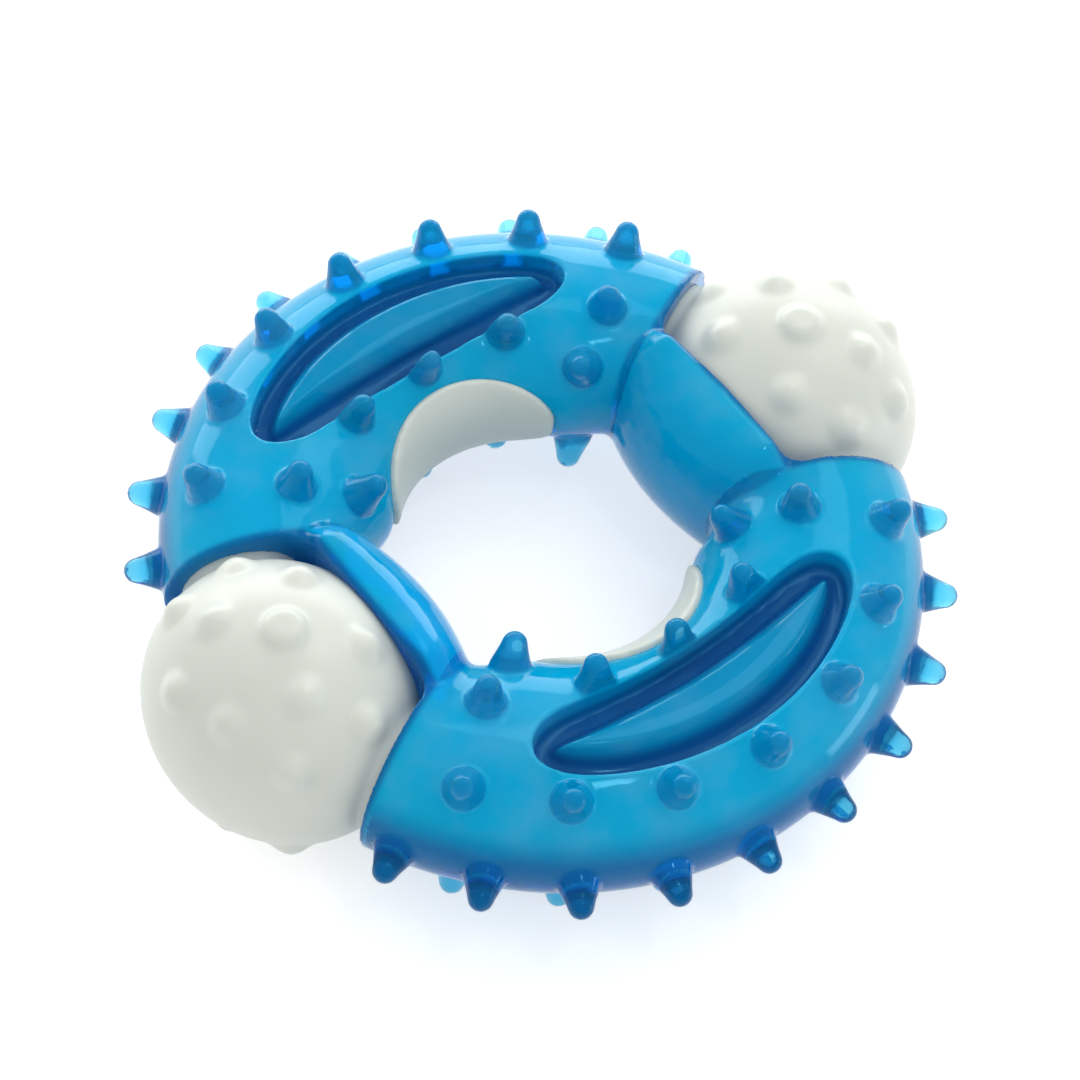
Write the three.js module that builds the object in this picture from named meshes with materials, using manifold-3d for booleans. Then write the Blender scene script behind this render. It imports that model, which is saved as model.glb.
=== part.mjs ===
// Ring-shaped dog chew toy: a rigid white core with two round knuckles, moulded over with
// a soft blue ring that has rows of spikes, a ribbed recess on each lobe and open windows
// where the core meets the dog's teeth from the inside.
//
// Millimetres. +X runs along the line of the knuckles, +Y across the two lobes, +Z is up.
// The origin is the centre of the ring, and all three planes through it are mirror planes
// of the main shape.

import * as THREE from 'three';
import { mergeVertices } from 'three/addons/utils/BufferGeometryUtils.js';
import Module from 'manifold-3d';

// Ring: the line that the middle of the tube follows, and the tube's half sizes.
const RING_RADIUS = 40;
const RING_WIDENING = 0.7;
const TUBE_HALF_WIDTH = 17.5;
const TUBE_HALF_HEIGHT = 12.7;

// Lobes: where they end beside a knuckle, and how their inner wall draws back there.
const LOBE_END_DEGREES = 25;
const LOBE_EDGE_ROUNDING = 1.3;
const LOBE_DRAWBACK = 4.2;
const LOBE_DRAWBACK_START_DEGREES = 46;

// Bands: the smooth bridges on the hole side of each knuckle.
const BAND_WALL_INSIDE = 6.6;
const BAND_THICKNESS = 10.8;
const BAND_WALL_X = RING_RADIUS - BAND_WALL_INSIDE;
const BAND_INNER_X = BAND_WALL_X - BAND_THICKNESS;
const BAND_HALF_HEIGHT = 14.7;
const BAND_EDGE_ROUNDING = 0.9;
const BAND_FLAT_HALF_LENGTH = 11.5;
const BAND_HALF_LENGTH = 18;
const BAND_END_DROP = 3.6;
const POCKET_CORNER_RADIUS = 5;
const POCKET_CORNER_RISE = 0.8;
const POCKET_CORNER_LAP = 1.5;

// Knuckles: ellipsoids with soft nubs above and below.
const KNUCKLE_OUTSET = 7.6;
const KNUCKLE_X = RING_RADIUS + KNUCKLE_OUTSET;
const KNUCKLE_HALF_LENGTH = 19.7;
const KNUCKLE_HALF_WIDTH = 21.8;
const KNUCKLE_HALF_HEIGHT = 19.1;
const NUB_RADIUS = 2.6;
const NUB_HEIGHT = 1.3;
const NUB_SINK = 0.8;
const NUB_CROWN = 0.8;
const REST_NUB_RADIUS = 3.4;
const REST_FLAT_RADIUS = 2.2;

// Core inside the lobes, and the necks that join it to the knuckles.
const SKIN_SIDE = 3.2;
const SKIN_TOP = 4.2;
const CORE_END_SKIN_DEGREES = 4.5;
const NECK_OUTSET = 5;
const NECK_RING_RADIUS = RING_RADIUS + NECK_OUTSET;
const NECK_HALF_WIDTH = 9.5;
const NECK_KNUCKLE_HALF_HEIGHT = 10.5;
const NECK_LOBE_HALF_HEIGHT = 7;
const NECK_FROM_DEGREES = 18;
const NECK_TO_DEGREES = 38;
const CLEARANCE = 0.3;

// Windows in the inner walls, filled by pads of the core.
const WINDOW_HALF_DEGREES = 43;
const WINDOW_HALF_HEIGHT = 8.3;
const PAD_PROUD = 0.9;
const PAD_ROOT_DEPTH = 7;
const PAD_END_SHARE = 0.985;

// Recess and rib on the crown of each lobe. Their edges are set out from the middle of the tube.
const RECESS_HALF_DEGREES = 42;
const RECESS_OUTSIDE = 7;
const RECESS_INSIDE = 7.4;
const RECESS_END_OUTSET = 1;
const RECESS_END_HALF_WIDTH = 3.4;
const RECESS_DEPTH = 2.8;
const RIB_HALF_DEGREES = 37;
const RIB_OUTSIDE = 1.6;
const RIB_INSIDE = 4.6;
const RIB_END_OUTSET = 0;
const RIB_END_HALF_WIDTH = 1;
const RIB_DROP = 0.9;

// Spikes.
const SPIKE_BASE_RADIUS = 3;
const SPIKE_SHOULDER_RADIUS = 1.7;
const SPIKE_SHOULDER_HEIGHT = 3.5;
const SPIKE_HEIGHT = 4.9;
const SPIKE_SINK = 1;

// Mesh fineness.
const TUBE_SIDES = 18;
const LOBE_STEP_DEGREES = 9;
const CORE_STEP_DEGREES = 12;
const SPIKE_SIDES = 6;
const KNUCKLE_SIDES = 20;
const WORTH_KEEPING = 0.01;
const CORE_SIDES = 12;

const RIGHT_ANGLE = 90;
const rad = THREE.MathUtils.degToRad;
const lerp = THREE.MathUtils.lerp;

const wasm = await Module();
wasm.setup();

// Turns a closed geometry into a solid that can be cut and joined.
function toSolid(geometry) {
  const bare = geometry.clone();
  bare.deleteAttribute('normal');
  bare.deleteAttribute('uv');
  const merged = mergeVertices(bare, 1e-4);
  return new wasm.Manifold(new wasm.Mesh({
    numProp: 3,
    vertProperties: new Float32Array(merged.attributes.position.array),
    triVerts: new Uint32Array(merged.index.array),
  }));
}

// Turns a solid back into a named mesh, without the slivers that cutting leaves.
function toMesh(solid, name, material) {
  const data = solid.simplify(WORTH_KEEPING).getMesh();
  const geometry = new THREE.BufferGeometry();
  geometry.setAttribute('position', new THREE.BufferAttribute(data.vertProperties.slice(), 3));
  geometry.setIndex(new THREE.BufferAttribute(data.triVerts.slice(), 1));
  geometry.computeVertexNormals();
  const mesh = new THREE.Mesh(geometry, material);
  mesh.name = name;
  return mesh;
}

// Joins rings of points into one closed skin. Every ring has the same number of points,
// runs anticlockwise about the way from ring to ring, and each end is closed by a fan.
function loft(rings) {
  const count = rings[0].length;
  const points = rings.flat();
  const index = [];
  for (let i = 0; i + 1 < rings.length; i += 1) {
    for (let j = 0; j < count; j += 1) {
      const k = (j + 1) % count;
      const a = i * count + j;
      const b = i * count + k;
      index.push(a, b, a + count, b, b + count, a + count);
    }
  }
  for (const end of [0, rings.length - 1]) {
    const middle = new THREE.Vector3();
    rings[end].forEach((point) => middle.addScaledVector(point, 1 / count));
    points.push(middle);
    for (let j = 0; j < count; j += 1) {
      const a = end * count + j;
      const b = end * count + (j + 1) % count;
      if (end === 0) {
        index.push(points.length - 1, b, a);
      } else {
        index.push(points.length - 1, a, b);
      }
    }
  }
  const geometry = new THREE.BufferGeometry().setFromPoints(points);
  geometry.setIndex(index);
  return geometry;
}

// A point at a radius, an angle from +X and a height.
function polar(radius, degrees, z) {
  return new THREE.Vector3(radius * Math.cos(rad(degrees)), radius * Math.sin(rad(degrees)), z);
}

// Angle between a direction round the ring and the nearer end of the knuckle line.
function fromKnuckleLine(degrees) {
  return Math.abs(degrees) > RIGHT_ANGLE ? 2 * RIGHT_ANGLE - Math.abs(degrees) : Math.abs(degrees);
}

function ringRadius(degrees) {
  return RING_RADIUS - RING_WIDENING * Math.cos(2 * rad(degrees));
}

// Middle radius and half sizes of a lobe's section, drawn in by the given insets.
function lobeSection(degrees, sideInset, topInset) {
  const away = fromKnuckleLine(degrees);
  const blend = (LOBE_DRAWBACK_START_DEGREES - away) / (LOBE_DRAWBACK_START_DEGREES - LOBE_END_DEGREES);
  const drawback = LOBE_DRAWBACK * THREE.MathUtils.smoothstep(blend, 0, 1);
  return {
    middle: ringRadius(degrees) + drawback / 2,
    halfWidth: TUBE_HALF_WIDTH - drawback / 2 - sideInset,
    halfHeight: TUBE_HALF_HEIGHT - topInset,
  };
}

function sectionRing(degrees, sides, sideInset, topInset) {
  const { middle, halfWidth, halfHeight } = lobeSection(degrees, sideInset, topInset);
  const ring = [];
  for (let j = 0; j < sides; j += 1) {
    const turn = (2 * Math.PI * j) / sides;
    ring.push(polar(middle + halfWidth * Math.cos(turn), degrees, halfHeight * Math.sin(turn)));
  }
  return ring;
}

// Tube of the upper lobe between two angles, with insets and rounded end edges.
function lobeTube({
  end,
  sideInset = 0,
  topInset = 0,
  rounding = 0,
  sides = TUBE_SIDES,
  step = LOBE_STEP_DEGREES,
}) {
  const stations = [];
  if (rounding > 0) {
    for (const turn of [0, 30, 60]) {
      const along = rounding * (1 - Math.cos(rad(turn)));
      const inset = rounding * (1 - Math.sin(rad(turn)));
      stations.push({ degrees: end + THREE.MathUtils.radToDeg(along / RING_RADIUS), inset });
    }
  }
  const first = end + THREE.MathUtils.radToDeg(rounding / RING_RADIUS);
  const steps = Math.ceil((RIGHT_ANGLE - first) / step);
  for (let i = 0; i < steps; i += 1) {
    stations.push({ degrees: lerp(first, RIGHT_ANGLE, i / steps), inset: 0 });
  }
  const mirrored = stations.map(({ degrees, inset }) => ({ degrees: 2 * RIGHT_ANGLE - degrees, inset }));
  const all = [...mirrored, { degrees: RIGHT_ANGLE, inset: 0 }, ...stations.reverse()];
  const rings = all.map(({ degrees, inset }) => (
    sectionRing(degrees, sides, sideInset + inset, topInset + inset)
  ));
  return toSolid(loft(rings));
}

// Smooth bridge on the hole side of the +X knuckle.
function band() {
  const crestX = BAND_WALL_X - BAND_EDGE_ROUNDING;
  const stops = [0, BAND_FLAT_HALF_LENGTH / 2, BAND_FLAT_HALF_LENGTH];
  for (const share of [1 / 3, 2 / 3, 1]) {
    stops.push(lerp(BAND_FLAT_HALF_LENGTH, BAND_HALF_LENGTH, share));
  }
  const lengths = [...stops.slice(1).reverse(), ...stops.map((y) => -y)];
  const rings = lengths.map((y) => {
    const past = (Math.abs(y) - BAND_FLAT_HALF_LENGTH) / (BAND_HALF_LENGTH - BAND_FLAT_HALF_LENGTH);
    const height = BAND_HALF_HEIGHT - BAND_END_DROP * THREE.MathUtils.smoothstep(past, 0, 1);
    const ring = [
      new THREE.Vector3(BAND_WALL_X, y, -height + BAND_EDGE_ROUNDING),
      new THREE.Vector3(BAND_WALL_X, y, height - BAND_EDGE_ROUNDING),
    ];
    for (let turn = RIGHT_ANGLE; turn <= 3 * RIGHT_ANGLE; turn += 15) {
      const x = crestX + (crestX - BAND_INNER_X) * Math.cos(rad(turn));
      ring.push(new THREE.Vector3(x, y, height * Math.sin(rad(turn))));
    }
    return ring;
  });
  return toSolid(loft(rings));
}

// Fills the pocket's corner between the +X band's wall and the upper lobe's end, so that
// the pocket's mouth has a round corner there.
function pocketCorner() {
  const corner = new THREE.Vector2(BAND_WALL_X, BAND_WALL_X * Math.tan(rad(LOBE_END_DEGREES)));
  const opening = rad(RIGHT_ANGLE + LOBE_END_DEGREES);
  const tangent = POCKET_CORNER_RADIUS / Math.tan(opening / 2);
  const centre = new THREE.Vector2(corner.x + POCKET_CORNER_RADIUS, corner.y - tangent);
  const shape = new THREE.Shape();
  shape.moveTo(corner.x, centre.y);
  shape.absarc(centre.x, centre.y, POCKET_CORNER_RADIUS, Math.PI, opening, true);
  shape.lineTo(shape.currentPoint.x - POCKET_CORNER_LAP, shape.currentPoint.y + POCKET_CORNER_LAP);
  shape.lineTo(corner.x - POCKET_CORNER_LAP, corner.y + POCKET_CORNER_LAP);
  shape.lineTo(corner.x - POCKET_CORNER_LAP, centre.y);
  const height = 2 * BAND_HALF_HEIGHT;
  const geometry = new THREE.ExtrudeGeometry(shape, { depth: height, bevelEnabled: false, curveSegments: 4 });
  geometry.translate(0, 0, -height / 2);
  const limit = lobeTube({ end: LOBE_END_DEGREES / 2, topInset: -POCKET_CORNER_RISE });
  return toSolid(geometry).intersect(limit);
}

// Point and outward direction on the upper lobe's skin. The turn goes round the tube from
// its outermost line (0) over the crown (90) to the hole side (180).
function skinPoint(degrees, turn) {
  const { middle, halfWidth, halfHeight } = lobeSection(degrees, 0, 0);
  const c = Math.cos(rad(turn));
  const s = Math.sin(rad(turn));
  const point = polar(middle + halfWidth * c, degrees, halfHeight * s);
  const normal = polar(c / halfWidth, degrees, s / halfHeight).normalize();
  return { point, normal };
}

// Rows of spikes on the upper half of the upper lobe, and on its outermost line.
function spikePlaces() {
  const rows = [
    { count: 10, spacing: 13.2, turn: () => 0, both: false },
    { count: 7, spacing: 17.2, turn: () => 55, both: true },
    { count: 5, spacing: 26, turn: (away) => 124 - 22 * (away / 52) ** 2, both: true },
    { count: 2, spacing: 98, turn: () => 137, both: true },
  ];
  const places = [];
  for (const { count, spacing, turn, both } of rows) {
    for (let i = 0; i < count; i += 1) {
      const away = (i - (count - 1) / 2) * spacing;
      places.push({ degrees: RIGHT_ANGLE + away, turn: turn(away) });
      if (both) {
        places.push({ degrees: RIGHT_ANGLE + away, turn: -turn(away) });
      }
    }
  }
  return places;
}

// A solid of revolution about +Y, from a profile of radius and height pairs, set on a point
// with its axis along a direction.
function turned(profile, sides, point, direction) {
  const outline = profile.map(([radius, height]) => new THREE.Vector2(radius, height));
  const geometry = new THREE.LatheGeometry(outline, sides);
  const up = new THREE.Vector3(0, 1, 0);
  geometry.applyQuaternion(new THREE.Quaternion().setFromUnitVectors(up, direction));
  geometry.translate(point.x, point.y, point.z);
  return toSolid(geometry);
}

function spike({ degrees, turn }) {
  const { point, normal } = skinPoint(degrees, turn);
  const profile = [
    [0, -SPIKE_SINK],
    [SPIKE_BASE_RADIUS, -SPIKE_SINK],
    [SPIKE_SHOULDER_RADIUS, SPIKE_SHOULDER_HEIGHT],
    [0, SPIKE_HEIGHT],
  ];
  return turned(profile, SPIKE_SIDES, point, normal);
}

// Crescent standing on the crown of the upper lobe, as a prism above the ring's middle plane.
function crescent({ halfDegrees, outer, inner, endRadius, endHalfWidth, sharpness }) {
  const steps = 14;
  const outline = [];
  const edge = (share, side) => {
    const bow = share * share;
    const near = lerp(side > 0 ? outer : inner, endRadius + side * endHalfWidth, bow);
    const middle = lerp((outer + inner) / 2, endRadius, bow);
    const radius = middle + (near - middle) * Math.sqrt(1 - share ** sharpness);
    const degrees = RIGHT_ANGLE - halfDegrees * share;
    return new THREE.Vector2(radius * Math.cos(rad(degrees)), radius * Math.sin(rad(degrees)));
  };
  for (let i = 0; i <= steps; i += 1) {
    outline.push(edge(-Math.cos((Math.PI * i) / steps), 1));
  }
  for (let i = 1; i < steps; i += 1) {
    outline.push(edge(Math.cos((Math.PI * i) / steps), -1));
  }
  const shape = new THREE.Shape(outline);
  const geometry = new THREE.ExtrudeGeometry(shape, { depth: 2 * TUBE_HALF_HEIGHT, bevelEnabled: false });
  geometry.translate(0, 0, TUBE_HALF_HEIGHT / 3);
  return toSolid(geometry);
}

// Pad of the core that fills the window of the upper lobe, drawn out by the given amount.
// Its edge stands square to the skin.
function pad(extra) {
  const steps = 10;
  const curve = 6;
  const reach = WINDOW_HALF_DEGREES + THREE.MathUtils.radToDeg(extra / (RING_RADIUS - TUBE_HALF_WIDTH));
  const rings = [];
  for (let i = 0; i <= steps; i += 1) {
    const share = -PAD_END_SHARE * Math.cos((Math.PI * i) / steps);
    const degrees = RIGHT_ANGLE - reach * share;
    const tall = (WINDOW_HALF_HEIGHT + extra) * Math.sqrt(1 - share * share);
    const edge = THREE.MathUtils.radToDeg(Math.asin(tall / TUBE_HALF_HEIGHT));
    const ring = [];
    for (let j = 0; j <= curve; j += 1) {
      const { point, normal } = skinPoint(degrees, 2 * RIGHT_ANGLE - edge * (1 - (2 * j) / curve));
      ring.push(point.addScaledVector(normal, PAD_PROUD + extra));
    }
    for (const side of [-1, 1]) {
      const { point, normal } = skinPoint(degrees, 2 * RIGHT_ANGLE - side * edge);
      ring.push(point.addScaledVector(normal, -PAD_ROOT_DEPTH));
    }
    rings.push(ring);
  }
  return toSolid(loft(rings));
}

function knuckle(extra) {
  const geometry = new THREE.SphereGeometry(1, KNUCKLE_SIDES, KNUCKLE_SIDES / 2);
  geometry.rotateX(Math.PI / 2);
  geometry.scale(KNUCKLE_HALF_LENGTH + extra, KNUCKLE_HALF_WIDTH + extra, KNUCKLE_HALF_HEIGHT + extra);
  geometry.translate(KNUCKLE_X, 0, 0);
  return toSolid(geometry);
}

// Directions of the nubs on a knuckle: degrees round from +X, and degrees down from the pole.
const NUB_PLACES = [
  [-50, 30], [68, 28], [146, 35], [-140, 33],
  [-101, 48], [-62, 54], [-14, 54], [20, 46], [56, 58], [102, 49],
];

function nub([round, down]) {
  const out = new THREE.Vector3(
    Math.sin(rad(down)) * Math.cos(rad(round)),
    Math.sin(rad(down)) * Math.sin(rad(round)),
    Math.cos(rad(down)),
  );
  const half = new THREE.Vector3(KNUCKLE_HALF_LENGTH, KNUCKLE_HALF_WIDTH, KNUCKLE_HALF_HEIGHT);
  const point = out.clone().multiply(half);
  const normal = out.clone().divide(half).normalize();
  point.x += KNUCKLE_X;
  const profile = [
    [0, -NUB_SINK],
    [NUB_RADIUS, -NUB_SINK],
    [NUB_RADIUS * NUB_CROWN, NUB_HEIGHT * NUB_CROWN],
    [0, NUB_HEIGHT],
  ];
  return turned(profile, SPIKE_SIDES, point, normal);
}

// The nub at the pole has a flat top: the toy rests on it.
function restNub() {
  const profile = [
    [0, -NUB_SINK],
    [REST_NUB_RADIUS, -NUB_SINK],
    [REST_NUB_RADIUS, 0],
    [REST_FLAT_RADIUS, NUB_HEIGHT],
    [0, NUB_HEIGHT],
  ];
  const pole = new THREE.Vector3(KNUCKLE_X, 0, KNUCKLE_HALF_HEIGHT);
  return turned(profile, KNUCKLE_SIDES / 2, pole, new THREE.Vector3(0, 0, 1));
}

// Neck that carries the +X knuckle from the core's end in the upper lobe.
function neck(extra) {
  const rings = [];
  for (let i = 0; i <= 4; i += 1) {
    const degrees = lerp(NECK_TO_DEGREES, NECK_FROM_DEGREES, i / 4);
    const halfHeight = lerp(NECK_LOBE_HALF_HEIGHT, NECK_KNUCKLE_HALF_HEIGHT, i / 4) + extra;
    const ring = [];
    for (let j = 0; j < CORE_SIDES; j += 1) {
      const turn = (2 * Math.PI * j) / CORE_SIDES;
      const radius = NECK_RING_RADIUS + (NECK_HALF_WIDTH + extra) * Math.cos(turn);
      ring.push(polar(radius, degrees, halfHeight * Math.sin(turn)));
    }
    rings.push(ring);
  }
  return toSolid(loft(rings));
}

function join(solids) {
  return solids.reduce((sum, solid) => sum.add(solid));
}

// A solid and its copy turned half way round the ring's axis.
function withHalfTurn(solid) {
  return solid.add(solid.rotate([0, 0, 2 * RIGHT_ANGLE]));
}

// A solid and its mirror image in a plane through the origin.
function withMirror(solid, normal) {
  return solid.add(solid.mirror(normal));
}

// Core without its nubs, drawn out on all sides by the given amount.
function coreBody(extra) {
  const tube = lobeTube({
    end: LOBE_END_DEGREES + CORE_END_SKIN_DEGREES - THREE.MathUtils.radToDeg(extra / RING_RADIUS),
    sideInset: SKIN_SIDE - extra,
    topInset: SKIN_TOP - extra,
    sides: CORE_SIDES,
    step: CORE_STEP_DEGREES,
  });
  const necks = withMirror(neck(extra), [1, 0, 0]);
  const half = join([tube, necks, pad(extra), knuckle(extra)]);
  return withHalfTurn(half);
}

function buildCore() {
  const nubs = join([...NUB_PLACES.map(nub), restNub()]);
  return coreBody(0).add(withHalfTurn(withMirror(nubs, [0, 0, 1])));
}

function buildSleeve() {
  const lobe = lobeTube({ end: LOBE_END_DEGREES, rounding: LOBE_EDGE_ROUNDING });
  const floor = lobeTube({ end: LOBE_END_DEGREES, sideInset: RECESS_DEPTH, topInset: RECESS_DEPTH });
  const ribTop = lobeTube({ end: LOBE_END_DEGREES, sideInset: RIB_DROP, topInset: RIB_DROP });
  const recess = crescent({
    halfDegrees: RECESS_HALF_DEGREES,
    outer: RING_RADIUS + RECESS_OUTSIDE,
    inner: RING_RADIUS - RECESS_INSIDE,
    endRadius: RING_RADIUS + RECESS_END_OUTSET,
    endHalfWidth: RECESS_END_HALF_WIDTH,
    sharpness: 12,
  }).subtract(floor);
  const rib = crescent({
    halfDegrees: RIB_HALF_DEGREES,
    outer: RING_RADIUS + RIB_OUTSIDE,
    inner: RING_RADIUS - RIB_INSIDE,
    endRadius: RING_RADIUS + RIB_END_OUTSET,
    endHalfWidth: RIB_END_HALF_WIDTH,
    sharpness: 4,
  }).intersect(ribTop);
  const spiked = join([lobe, ...spikePlaces().map(spike)]);
  const carved = spiked
    .subtract(withMirror(recess, [0, 0, 1]))
    .add(withMirror(rib, [0, 0, 1]));
  const whole = withHalfTurn(join([carved, band(), withMirror(pocketCorner(), [1, 0, 0])]));
  return whole.subtract(coreBody(CLEARANCE));
}

const nylon = new THREE.MeshStandardMaterial({ color: 0xe4eae2, roughness: 0.35, metalness: 0 });
const rubber = new THREE.MeshStandardMaterial({ color: 0x0091d2, roughness: 0.25, metalness: 0 });

const toy = new THREE.Group();
toy.name = 'ring_chew_toy';
toy.add(toMesh(buildCore(), 'knuckle_core', nylon));
toy.add(toMesh(buildSleeve(), 'spiked_ring', rubber));

export default toy;
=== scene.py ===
"""Ring-shaped dog chew toy: a hard nylon core with two round knuckles, moulded over with a soft
clear blue ring that has spikes, a ribbed recess on each lobe and a window in each inner wall.

Metres, in the frame of the packed part: +X along the line of the knuckles, +Y across the two
lobes, +Z up, and the origin in the middle of the ring.
"""

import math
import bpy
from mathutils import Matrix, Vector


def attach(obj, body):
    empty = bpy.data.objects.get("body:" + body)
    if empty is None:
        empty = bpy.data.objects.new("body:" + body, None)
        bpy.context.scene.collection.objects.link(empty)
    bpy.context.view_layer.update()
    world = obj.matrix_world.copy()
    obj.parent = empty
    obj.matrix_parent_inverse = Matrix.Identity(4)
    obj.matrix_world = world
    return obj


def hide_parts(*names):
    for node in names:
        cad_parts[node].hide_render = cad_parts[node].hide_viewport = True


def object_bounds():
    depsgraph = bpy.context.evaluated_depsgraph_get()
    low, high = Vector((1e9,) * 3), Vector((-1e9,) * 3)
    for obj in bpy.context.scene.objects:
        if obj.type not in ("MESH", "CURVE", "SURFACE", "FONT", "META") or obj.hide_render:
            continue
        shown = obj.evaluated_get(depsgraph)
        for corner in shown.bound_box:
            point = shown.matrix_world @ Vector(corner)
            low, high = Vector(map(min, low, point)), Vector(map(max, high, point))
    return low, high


bl_info = {
    "name": "Ring Chew Toy",
    "version": (1, 0, 0),
    "blender": (4, 5, 0),
    "location": "View3D > Sidebar > Chew Toy",
    "description": "Builds a ring chew toy round its packed part, with floor, lights and camera",
    "category": "Object",
}

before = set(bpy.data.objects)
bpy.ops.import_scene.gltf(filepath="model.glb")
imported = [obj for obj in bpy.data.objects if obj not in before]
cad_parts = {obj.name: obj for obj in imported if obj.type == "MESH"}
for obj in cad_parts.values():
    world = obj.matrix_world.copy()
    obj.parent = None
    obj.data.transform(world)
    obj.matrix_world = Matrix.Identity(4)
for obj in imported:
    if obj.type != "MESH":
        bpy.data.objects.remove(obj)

import bmesh
import bpy
import numpy as np
from bpy.props import FloatProperty, FloatVectorProperty, PointerProperty
from mathutils import Matrix, Vector

CAD_LOW, CAD_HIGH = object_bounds()
MM = 0.001
HALF_TURN = math.pi
RIGHT_ANGLE = math.pi / 2
# A ring of a loft can't shrink to a point, so a round form stops this share of the way to its pole.
NEAR_POLE = 0.985
# How deep a nub is rooted in its knuckle, and a window pad in its bar.
NUB_ROOT = 0.8 * MM
PAD_ROOT = 7 * MM
# The rubber's gloss takes on some of its blue.
GLOSS_TINT = (0.22, 0.75, 1.0, 1.0)


def linear(code):
    """Linear colour of an sRGB hex code such as "E4EAE2"."""
    parts = [int(code[i : i + 2], 16) / 255 for i in (0, 2, 4)]
    return tuple(p / 12.92 if p <= 0.04045 else ((p + 0.055) / 1.055) ** 2.4 for p in parts)


# Sizes that a user would change


def length(label, description, default):
    return FloatProperty(
        name=label, description=description, default=default, unit="LENGTH", precision=5
    )


def angle(label, description, degrees):
    return FloatProperty(
        name=label, description=description, default=math.radians(degrees), subtype="ANGLE"
    )


def colour(label, description, code):
    return FloatVectorProperty(
        name=label, description=description, default=linear(code), subtype="COLOR", min=0, max=1
    )


def fraction(label, description, default):
    return FloatProperty(
        name=label, description=description, default=default, subtype="FACTOR", min=0, max=1
    )


class ToyRingSizes(bpy.types.PropertyGroup):
    """The soft ring: its two lobes and the bands that join them."""

    radius: length("Ring radius", "Radius of the line through the middle of the tube", 40 * MM)
    widening: length("Widening", "How much wider the ring is across its lobes", 0.7 * MM)
    half_width: length("Tube half width", "Half the tube's width, in the ring's plane", 17.5 * MM)
    half_height: length("Tube half height", "Half the tube's height", 12.7 * MM)
    end: angle("Lobe end", "Angle from the knuckle line at which a lobe ends", 25)
    drawback: length("Drawback", "How far a lobe's inner wall draws back at its ends", 4.2 * MM)
    drawback_start: angle("Drawback start", "Angle from the knuckle line where that starts", 46)
    band_wall: length("Band wall", "Distance of a band's pocket wall from the middle", 33.4 * MM)
    band_inside: length("Band inside", "Distance of a band's hole side from the middle", 22.9 * MM)
    band_bulge: length("Band bulge", "How far a band bulges into the hole", 2 * MM)
    band_height: length("Band half height", "Half the height of a band", 14.7 * MM)
    band_flat: length("Band flat", "Half the length over which a band keeps its height", 11.5 * MM)
    band_reach: length("Band reach", "Half the length of a band", 18 * MM)
    band_drop: length("Band drop", "How far a band falls towards the lobes", 3.6 * MM)
    corner: length("Pocket corner", "Radius of the pocket's corners seen from above", 5 * MM)
    lip: length("Lip", "Thickness of the rim that hugs a knuckle", 1.1 * MM)


class ToySpikeSizes(bpy.types.PropertyGroup):
    """The spikes on the lobes."""

    base: length("Base radius", "Radius at the foot of a spike", 3.15 * MM)
    tip: length("Tip radius", "Radius near the tip of a spike", 1.9 * MM)
    height: length("Height", "How far a spike stands out", 5.2 * MM)
    sink: length("Sink", "How deep a spike is rooted", 1 * MM)


class ToyRecessSizes(bpy.types.PropertyGroup):
    """The crescent recess on the crown of each lobe and the rib in it."""

    half_angle: angle("Recess half angle", "Half the angle that the recess covers", 41)
    outer: length("Recess outer radius", "Radius of the outer edge", 47.2 * MM)
    inner: length("Recess inner radius", "Radius of the inner edge", 30.8 * MM)
    end_radius: length("Recess end radius", "Radius at which the recess ends", 42 * MM)
    end_width: length("Recess end half width", "Half the width of the recess's ends", 4.4 * MM)
    depth: length("Recess depth", "Depth of the recess below the skin", 3.8 * MM)
    rib_half_angle: angle("Rib half angle", "Half the angle that the rib covers", 36.5)
    rib_outer: length("Rib outer radius", "Radius of the rib's outer edge", 43.2 * MM)
    rib_inner: length("Rib inner radius", "Radius of the rib's inner edge", 36 * MM)
    rib_end_radius: length("Rib end radius", "Radius at which the rib ends", 42 * MM)
    rib_end_width: length("Rib end half width", "Half the width of the rib's ends", 1.8 * MM)
    rib_drop: length("Rib drop", "How far the rib's top lies below the skin", 0.8 * MM)
    wall_foot: length("Wall foot", "How far the recess's walls come in at the floor", 0.5 * MM)
    wall_top: length("Wall top", "How far the recess's walls lie out at the crown", 0.3 * MM)
    rib_foot: length("Rib foot", "How far the rib's sides lie out at the floor", 1 * MM)


class ToyCoreSizes(bpy.types.PropertyGroup):
    """The hard core: knuckles, nubs, bars through the lobes and window pads."""

    knuckle_x: length("Knuckle place", "Distance of a knuckle's middle from the toy's", 47.6 * MM)
    knuckle_length: length("Knuckle half length", "Half the knuckle along X", 19.7 * MM)
    knuckle_width: length("Knuckle half width", "Half the knuckle along Y", 21.8 * MM)
    knuckle_height: length("Knuckle half height", "Half the knuckle along Z", 19.1 * MM)
    nub_radius: length("Nub radius", "Radius of a nub at its foot", 3.1 * MM)
    nub_height: length("Nub height", "How far a nub stands out", 1.45 * MM)
    foot_radius: length("Foot radius", "Radius of the flat that the toy rests on", 2.2 * MM)
    skin_side: length("Skin at the sides", "Thickness of the soft ring beside the bars", 3.2 * MM)
    skin_top: length("Skin on top", "Thickness of the soft ring above the bars", 4.6 * MM)
    neck_radius: length("Neck ring radius", "Distance of the necks from the middle", 45 * MM)
    neck_half_width: length("Neck half width", "Half the width of a neck", 9.5 * MM)
    neck_low: length("Neck half height in the lobe", "Where it meets the bar", 7 * MM)
    neck_high: length("Neck half height at the knuckle", "Where it meets the knuckle", 10.5 * MM)
    window_half_angle: angle("Window half angle", "Half the angle that a window covers", 43)
    window_half_height: length("Window half height", "Half the height of a window", 8.3 * MM)
    pad_proud: length("Pad proud", "How far a pad stands out of its window", 0.9 * MM)
    bond: length("Bond", "How far the ring laps the core where they are moulded together", 0.2 * MM)


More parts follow.
